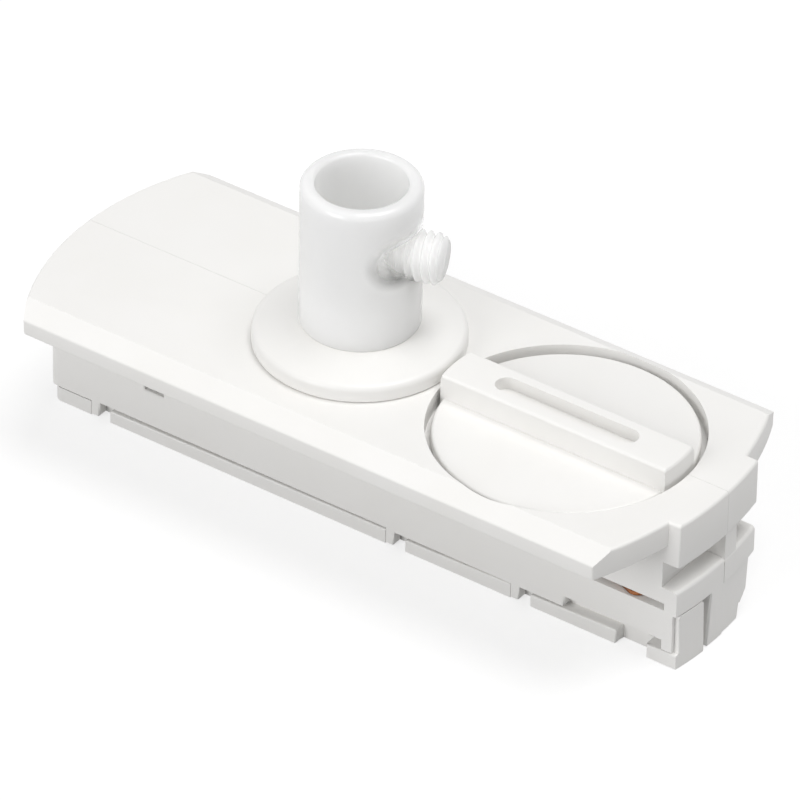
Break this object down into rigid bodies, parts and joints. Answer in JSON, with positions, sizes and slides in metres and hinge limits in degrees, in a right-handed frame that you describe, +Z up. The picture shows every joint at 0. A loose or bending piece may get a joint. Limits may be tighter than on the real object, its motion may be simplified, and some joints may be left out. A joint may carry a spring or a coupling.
{
  "type": "track light adapter",
  "caption": "White plastic track adapter with an arched cover plate, a quarter-turn lock knob that swings out copper contacts, and a cord grip tube with a clamp screw.",
  "frame": {"origin": "middle of the bounding box, on the plane of the flat bottom", "axes": "+Z up out of the cover plate, +X along the length from the cord grip towards the lock knob, -Y the near long side in the picture"},
  "size_m": [0.0886, 0.036, 0.0416],
  "materials": {
    "white_shell": "fine satin moulded white plastic",
    "white_knob": "fine satin moulded white plastic",
    "natural_nylon": "milky translucent natural nylon, smooth",
    "insulator": "moulded grey insulating plastic",
    "copper": "bare copper strip, slightly dulled",
    "brass": "bare brass",
    "zinc_steel": "bright zinc plated steel"
  },
  "bodies": {
    "housing": {"housing_near": "white_shell", "housing_far": "white_shell", "bottom_cover": "white_shell", "slip_washer": "natural_nylon", "wiper_live": "brass", "wiper_neutral": "brass", "terminal_block": "insulator", "terminal_clamp_live": "brass", "terminal_clamp_neutral": "brass", "terminal_screws": "zinc_steel", "flange_collar": "white_shell", "cord_grip": "natural_nylon", "hex_nut": "zinc_steel", "toothed_washer": "zinc_steel", "cover_screws": "zinc_steel"},
    "lock": {"lock_knob": "white_knob", "locking_wing": "zinc_steel", "contact_rotor": "insulator", "contact_arm_live": "copper", "contact_arm_neutral": "copper", "rotor_washer": "zinc_steel", "rotor_screw": "zinc_steel"},
    "clamp": {"clamp_screw": "natural_nylon"}
  },
  "joints": [
    {"name": "knob_turn", "type": "hinge", "parent": "housing", "child": "lock", "pos_m": [0.023, 0, 0], "axis": [0, 0, -1], "range_deg": [0, 90]},
    {"name": "clamp_travel", "type": "slide", "parent": "housing", "child": "clamp", "axis": [0.9563, 0.2924, 0], "range_m": [-0.003, 0.0015]}
  ]
}
